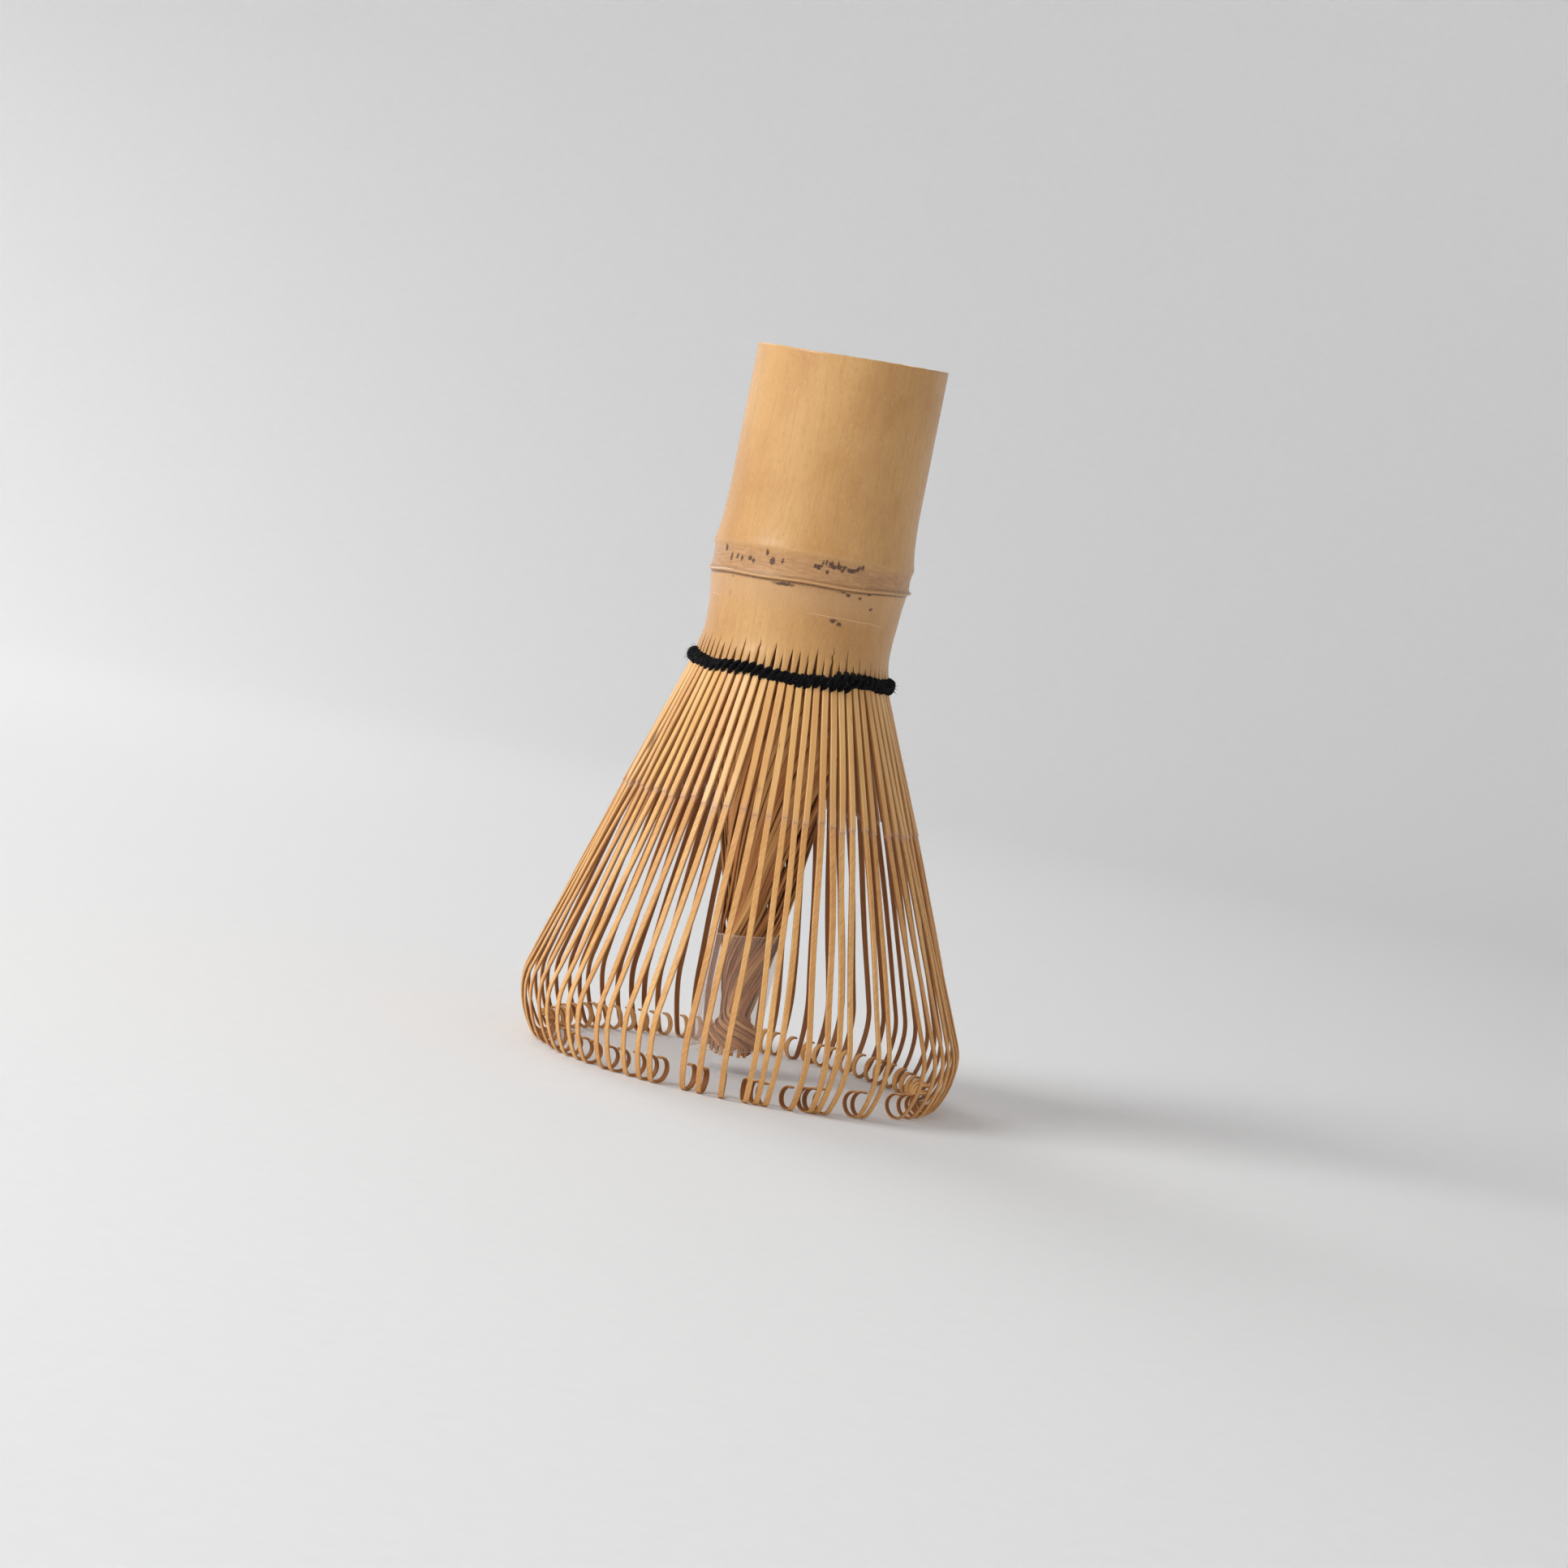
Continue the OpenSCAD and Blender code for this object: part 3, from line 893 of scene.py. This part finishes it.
def blade_section(width, thickness, chamfer):
    """Eight (sideways, depth) points round a blade: its outer face first."""
    w = width / 2
    c = min(chamfer, 0.3 * thickness)
    right = [(w - c, 0), (w, c), (w, thickness - c), (w - c, thickness)]
    left = [(-u, depth) for u, depth in reversed(right)]
    return [left[-1], *right, *left[:-1]]


# Brown knots as (tine, height, half length)
KNOTS = [(55, 41.6, 0.5), (43, 44.2, 0.8), (42, 45.0, 0.4), (64, 25.4, 0.4)]
KNOTS += [(65, 26.0, 0.35), (67, 27.5, 0.3), (6, 40.0, 0.5), (24, 33.0, 0.4)]


def add_outer_tine(builder, i):
    step_z = STEP_Z + 0.35 * vary(i, 6) + 0.12 * vary(i, 11)
    curl_r = CURL_R * (1 - 0.06 * (1 + vary(i, 5)))
    twist = 17 * vary(i, 8) + 6 * vary(i, 13)
    tone = (0.5 + 0.5 * vary(i, 10)) ** 1.3
    path, first_curl = outer_path(i, step_z, curl_r)
    top = path[0][1]
    pivot_r = path[first_curl - 1][0]
    knots = [(z, half) for tine, z, half in KNOTS if tine == i]
    rings = []
    values = {key: [] for key in ("length", "across", "skin", "face", "tone", "step", "knot")}
    length = 0.0
    for k, (r, z, heading, t) in enumerate(path):
        if k:
            length += math.hypot(r - path[k - 1][0], z - path[k - 1][1])
        share = min(1.0, max(0.0, (top - z) / top))
        loose = smooth(top - z, 0, 16)
        azimuth = root_azimuth(i) + (tip_azimuth(i) - root_azimuth(i)) * share
        azimuth += 0.22 * loose * math.sin(0.21 * z + 2.3 * i)
        r_wave = 0.13 * loose * math.sin(0.17 * z + 1.7 * i)
        width = (ROOT_W + (TIP_W - ROOT_W) * share) * (1 + 0.05 * vary(i, 3))
        width *= 1 + 0.025 * math.sin(0.6 * z + i)
        turn = twist * smooth(k, first_curl, first_curl + CURL_STEPS / 3)
        section = blade_section(width, t, CHAMFER)
        ring = []
        for u, depth in section:
            at_r = r + r_wave - depth * cos_deg(heading)
            at_z = z - depth * sin_deg(heading)
            inward = at_r - pivot_r
            turned_r = pivot_r + inward * cos_deg(turn) - u * sin_deg(turn)
            side = inward * sin_deg(turn) + u * cos_deg(turn)
            x = cage_x(at_z) + turned_r * cos_deg(azimuth) - side * sin_deg(azimuth)
            y = turned_r * sin_deg(azimuth) + side * cos_deg(azimuth)
            ring.append((x, y, max(at_z, 0.0)))
        rings.append(ring)
        above = 1.0 if z > step_z else 0.0
        values["length"].append([length + 37 * i] * 8)
        values["across"].append([u + (2 * depth if depth else 0) for u, depth in section])
        # face: 1 on the outer face, 0 on the sides and back, which get the darker colour that is partly
        # painted shade
        values["face"].append([1, 1, 0.75, 0, 0, 0, 0, 0.75])
        values["skin"].append([above] * 8)
        values["tone"].append([tone] * 8)
        values["step"].append([bell(z, step_z, 0.5)] * 8)
        knot = max([bell(z, at, half) for at, half in knots], default=0.0)
        values["knot"].append([knot, knot * 0.8, 0.3 * knot, 0, 0, 0, 0, 0.5 * knot])
    builder.add_rings(rings, values)


def build_outer_tines():
    material = tine_material()
    for group in range(GROUPS):
        builder = Builder()
        for place in range(PER_GROUP):
            add_outer_tine(builder, group * PER_GROUP + place)
        name = f"{group + 1:02d}"
        piece = builder.piece(f"outer_tine_blades_{name}", material)
        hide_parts(f"outer_tines_{name}")
        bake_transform(piece)


# ------------------------------------------------------------------ inner tines, twisted into the core
CORE_LEVELS = [60.8, 58, 55, 51, 47, 43, 39, 35, 31, 27.5, 24, 21, 18.5, 16, 13.5, 11.5, 10, 9.2]
CORE_LEVELS += [8.7 - 0.4 * k for k in range(15)]
# What the CAD model's simpler core lacks or has smaller: the spread of the folded ends, the sag to the
# right, and the two extra turns in degrees
FAN_R = 3.8
CORE_SAG = 0.75
CORE_TIGHTER = 45
CORE_REVERSE = 205


def core_x(z):
    """The core leans less than the cage and sags to the right inside its sleeve."""
    return HANDLE_X + CORE_LEAN * max(0.0, RING_Z - z) + CORE_SAG * smooth(RING_Z - z, 8, 36)


def core_radius(z):
    """A cone down to the waist, fuller where the sleeve starts, then the spread of the folded ends."""
    if z > WAIST_Z:
        cone = (CORE_TOP_R - WAIST_R) * (z - WAIST_Z) / (RING_Z + 0.5 - WAIST_Z)
        return WAIST_R + cone + 0.3 * bell(z, 19, 6)
    return WAIST_R + (FAN_R - WAIST_R) * smooth(WAIST_Z - z, -1.0, 4.0)


def core_turn(z):
    """Twist down to the waist, tighter inside the sleeve; below it the folded ends swing back."""
    turn = TWIST_GAIN * math.log(CORE_TOP_R / core_radius(max(z, WAIST_Z)))
    turn += CORE_TIGHTER * smooth(26 - z, 0, 18)
    return turn - CORE_REVERSE * smooth(WAIST_Z + 0.9 - z, 0, 5.4)


def core_place(i, z):
    """Middle of strand i's outer face at a height, and the direction away from the core's axis there."""
    layer = 0.5 + 0.5 * vary(i, 5)
    gathered = smooth(RING_Z - z, 4, 40)
    radius = core_radius(z) * (1 - 0.36 * layer * gathered)
    radius += 0.12 * math.sin(0.3 * z + 2.1 * i) * smooth(RING_Z - z, 0, 10)
    azimuth = i * PITCH - core_turn(z) + 2.4 * vary(i, 2) * gathered
    outward = Vector((cos_deg(azimuth), sin_deg(azimuth), 0))
    return Vector((core_x(z), 0, z)) + outward * radius, outward


def add_inner_tine(builder, i):
    tone = 0.5 + 0.5 * vary(i, 3)
    end_z = 3.4 + 0.9 * vary(i, 7)
    rings = []
    values = {key: [] for key in ("length", "across", "face", "tone")}
    length = 0.0
    levels = [z for z in CORE_LEVELS if z > end_z + 0.3] + [end_z]
    for k, z in enumerate(levels):
        if k:
            length += levels[k - 1] - z
        centre, outward = core_place(i, z)
        upwards = (core_place(i, z + 0.15)[0] - core_place(i, z - 0.15)[0]).normalized()
        side = upwards.cross(outward).normalized()
        normal = side.cross(upwards)
        width = 0.86 - 0.26 * smooth(RING_Z - z, 0, 26) - 0.1 * smooth(33 - z, 0, 14)
        depth = 0.95 - 0.67 * smooth(RING_Z - z, 0, 34)
        section = blade_section(width, depth, 0.07)
        ring = [tuple(centre + side * u - normal * d) for u, d in section]
        rings.append(ring)
        values["length"].append([length + 23 * i] * 8)
        values["across"].append([u + 2 * d for u, d in section])
        # face: 1 on the outer face; the sides and back get the near-black painted shade
        values["face"].append([1, 1, 0.5, 0, 0.5, 0.5, 0, 0.5])
        values["tone"].append([tone] * 8)
    builder.add_rings(rings, values)


def build_inner_tines():
    material = core_material()
    for group in range(GROUPS):
        builder = Builder()
        for place in range(PER_GROUP):
            add_inner_tine(builder, group * PER_GROUP + place)
        name = f"{group + 1:02d}"
        piece = builder.piece(f"inner_tine_blades_{name}", material)
        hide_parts(f"inner_tines_{name}")
        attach(piece, "handle")


# ------------------------------------------------------------------ binding thread
STRAND_R = 0.36
STRAND_OFFSET = 0.33
TWINE_R = 13.66
TWINE_DEPTH = 0.92
TWINE_RISE = 0.54
STEPS_PER_TINE = 14
PLY_TURN = 190


def twine_centre(turn, phase):
    """Middle of one of the two strands, which pass in front of and behind the tines by turns."""
    azimuth = CROSSING_AZIMUTH + turn
    swing = 180 * (azimuth / PITCH + PER_GROUP / 2 - 0.5) + phase
    radius = TWINE_R + TWINE_DEPTH * (cos_deg(swing) - 0.1 * cos_deg(3 * swing))
    wobble = 0.08 * sin_deg(7.3 * azimuth) + 0.08 * sin_deg(19 * azimuth + 40)
    wobble += 0.05 * sin_deg(53 * azimuth)
    z = thread_height(turn) + TWINE_RISE * sin_deg(swing) + wobble
    x = HANDLE_X + radius * cos_deg(azimuth)
    return Vector((x, radius * sin_deg(azimuth), z))


def tube_along(builder, centres, radius, sides, seed=0.0, lint=0.0):
    """A round tube through the given points."""
    rings = []
    values = {"length": [], "across": [], "lint": []}
    length = seed
    for k, centre in enumerate(centres):
        ahead = centres[min(k + 1, len(centres) - 1)]
        behind = centres[max(k - 1, 0)]
        direction = (ahead - behind).normalized()
        side = direction.cross(Vector((0, 0, 1))).normalized()
        up = side.cross(direction)
        thick = radius(k / (len(centres) - 1)) if callable(radius) else radius
        ring = []
        for c in range(sides):
            angle = 360 * c / sides
            ring.append(tuple(centre + side * (thick * cos_deg(angle)) + up * (thick * sin_deg(angle))))
        rings.append(ring)
        if k:
            length += (centre - behind).length
        values["length"].append([length] * sides)
        values["across"].append([2 * thick * abs(c / sides - 0.5) for c in range(sides)])
        values["lint"].append([lint] * sides)
    builder.add_rings(rings, values)


def ply_radius(ply, phase):
    """Thickness along one ply, uneven as spun cotton is, and thin at its two ends."""

    def radius(share):
        uneven = 1 + 0.09 * math.sin(311 * share + 2 * ply + phase) + 0.08 * math.sin(523 * share + ply)
        ends = smooth(share, 0, 0.006) * smooth(1 - share, 0, 0.006)
        return STRAND_R * uneven * (0.55 + 0.45 * ends)

    return radius


LINT_FIBRES = 1700


def random_vector(rng):
    return Vector((rng.uniform(-1, 1), rng.uniform(-1, 1), rng.uniform(-1, 1)))


def build_thread():
    builder = Builder()
    span = THREAD_RISE[-1][0]
    count = int(span / PITCH * STEPS_PER_TINE)
    for phase in (0, 180):
        turns = [span * k / count for k in range(count + 1)]
        middle = [twine_centre(turn, phase) for turn in turns]
        for ply in range(3):
            centres = []
            for k, centre in enumerate(middle):
                direction = (middle[min(k + 1, count)] - middle[max(k - 1, 0)]).normalized()
                side = direction.cross(Vector((0, 0, 1))).normalized()
                up = side.cross(direction)
                angle = 120 * ply + PLY_TURN * k / STEPS_PER_TINE + phase
                sideways = side * (STRAND_OFFSET * cos_deg(angle))
                centres.append(centre + sideways + up * (STRAND_OFFSET * sin_deg(angle)))
            tube_along(builder, centres, ply_radius(ply, phase), 7, seed=17.0 * ply + phase)
    rng = Random(11)
    for _ in range(LINT_FIBRES):
        turn = rng.uniform(0, span)
        phase = rng.choice((0, 180))
        foot = twine_centre(turn, phase)
        out = Vector((foot.x - HANDLE_X, foot.y, 0)).normalized()
        aim = (random_vector(rng) * 0.8 + out * 0.8).normalized()
        bow = random_vector(rng) * 0.25
        reach = rng.uniform(0.8, 1.3)
        centres = [foot + aim * (reach * s) + bow * s * s for s in (0.15, 0.45, 0.75, 1.0)]
        tube_along(builder, centres, lambda share: 0.03 - 0.018 * share, 3, lint=rng.uniform(0, 1) ** 3)
    thread = builder.piece("twined_thread", thread_material(), sharp=70)
    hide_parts("binding_thread")
    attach(thread, "handle")


# ------------------------------------------------------------------ film sleeve on the core
FILM_T = 0.09
FILM_START, FILM_WRAP = 150, 384
FILM_EDGE_TILT = 0.6
RIM_H = 0.14


def build_film():
    """A strip of clear film rolled round the core, its end lapping over its start."""
    columns = 120
    low, high = FILM_LOW.z, FILM_HIGH.z
    heights = [0.0, RIM_H / (high - low), 0.15, 0.3, 0.45, 0.6, 0.75, 0.9, 1 - RIM_H / (high - low), 1.0]
    points = []
    for layer in (0, 1):
        for column in range(columns + 1):
            turn = FILM_WRAP * column / columns
            azimuth = FILM_START + turn
            for share in heights:
                z = low + (high - low) * share + FILM_EDGE_TILT * cos_deg(azimuth)
                radius = FILM_R - 0.25 + 0.45 * share + 0.16 * cos_deg(2 * azimuth + 30)
                radius += 0.13 * turn / 360 + FILM_T * layer
                radius += 0.05 * sin_deg(5 * azimuth + 90 * share)
                x = FILM_X + radius * cos_deg(azimuth)
                points.append((x, radius * sin_deg(azimuth), z))
    rows = len(heights)
    sheet = rows * (columns + 1)
    faces = []
    slots = []

    def add(quad, rim):
        faces.append(quad)
        slots.append(1 if rim else 0)

    for column in range(columns):
        for row in range(rows - 1):
            a = column * rows + row
            b = a + rows
            rim = row in (0, rows - 2)
            add((sheet + a, sheet + b, sheet + b + 1, sheet + a + 1), rim)
            add((a, a + 1, b + 1, b), rim)
        for row, up in ((0, False), (rows - 1, True)):
            a = column * rows + row
            b = a + rows
            quad = (a, sheet + a, sheet + b, b)
            add(quad if up else tuple(reversed(quad)), True)
    for column, first in ((0, True), (columns, False)):
        for row in range(rows - 1):
            a = column * rows + row
            quad = (a, a + 1, sheet + a + 1, sheet + a)
            add(tuple(reversed(quad)) if first else quad, True)
    materials = [film_material("film", 0.13), film_material("film_edge", 0.5)]
    film = make_piece("clear_sleeve", points, faces, materials, face_materials=slots, sharp=50)
    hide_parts("film_sleeve")
    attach(film, "film")


# ------------------------------------------------------------------ stage, light and camera
FLOOR_R = 700
SWEEP_R = 350
WALL_H = 900


def build_stage():
    """A round pale floor that curves up into a wall on every side."""
    profile = [(200.0, 0.0), (450.0, 0.0), (FLOOR_R, 0.0)]
    for k in range(1, 13):
        angle = 90 * k / 12
        profile.append((FLOOR_R + SWEEP_R * sin_deg(angle), SWEEP_R * (1 - cos_deg(angle))))
    profile.append((FLOOR_R + SWEEP_R, WALL_H))
    columns = 72
    points = []
    for r, z in profile:
        for c in range(columns):
            azimuth = 360 * c / columns
            points.append((r * cos_deg(azimuth), r * sin_deg(azimuth), z))
    points.append((0, 0, 0))
    faces = []
    for k in range(len(profile) - 1):
        for c in range(columns):
            d = (c + 1) % columns
            faces.append((k * columns + c, (k + 1) * columns + c, (k + 1) * columns + d, k * columns + d))
    for c in range(columns):
        faces.append((c, (c + 1) % columns, len(points) - 1))
    stage = make_piece("stage", points, faces, [stage_material()])


def add_area_light(name, place, target, size, power, colour):
    data = bpy.data.lights.new(name, "AREA")
    data.shape = "DISK"
    data.size = size * MM
    data.energy = power
    data.color = colour
    lamp = bpy.data.objects.new(name, data)
    lamp.location = Vector(place) * MM
    lamp.rotation_euler = (Vector(target) - Vector(place)).to_track_quat("-Z", "Y").to_euler()
    lamp.visible_camera = False
    bpy.context.scene.collection.objects.link(lamp)


# Lights as (name, place, target, diameter, watts, colour)
LIGHTS = [
    ("key", (-620, -400, 560), (-200, -130, 0), 480, 5.0, (0.985, 1.0, 0.985)),
    ("fill", (560, -560, 300), (0, 0, 50), 600, 0.12, (1.0, 0.95, 0.88)),
    ("back", (-470, 560, 520), (-220, 260, 0), 560, 2.0, (1.0, 1.0, 1.0)),
]
SKY_COLOUR = (1.0, 0.975, 0.93, 1.0)
SKY_STRENGTH = 0.24


def build_light():
    for light in LIGHTS:
        add_area_light(*light)
    world = bpy.data.worlds.new("studio")
    world.use_nodes = True
    background = world.node_tree.nodes["Background"]
    background.inputs["Color"].default_value = SKY_COLOUR
    background.inputs["Strength"].default_value = SKY_STRENGTH
    bpy.context.scene.world = world
    bpy.context.scene.view_settings.view_transform = "Standard"


CAMERA_PLACE = (12.1, -531.9, 72.3)
CAMERA_YAW, CAMERA_PITCH, CAMERA_ROLL = -1.338, -3.233, 11.255
CAMERA_LENS = 85.16


def build_camera():
    """Level with the node, nearly square to the whisk's axis, and rolled."""
    level = cos_deg(CAMERA_PITCH)
    forward = Vector((sin_deg(CAMERA_YAW) * level, cos_deg(CAMERA_YAW) * level, sin_deg(CAMERA_PITCH)))
    right = forward.cross(Vector((0, 0, 1))).normalized()
    up = right.cross(forward)
    rolled_right = right * cos_deg(CAMERA_ROLL) + up * sin_deg(CAMERA_ROLL)
    rolled_up = up * cos_deg(CAMERA_ROLL) - right * sin_deg(CAMERA_ROLL)
    data = bpy.data.cameras.new("camera")
    data.lens = CAMERA_LENS
    data.sensor_width = 36
    data.clip_start = 0.01
    data.clip_end = 10
    camera = bpy.data.objects.new("camera", data)
    axes = Matrix((rolled_right, rolled_up, -forward)).transposed().to_4x4()
    camera.matrix_world = Matrix.Translation(Vector(CAMERA_PLACE) * MM) @ axes
    bpy.context.scene.collection.objects.link(camera)
    bpy.context.scene.camera = camera


build_culm()
build_outer_tines()
build_inner_tines()
build_thread()
build_film()
build_stage()
build_light()
build_camera()
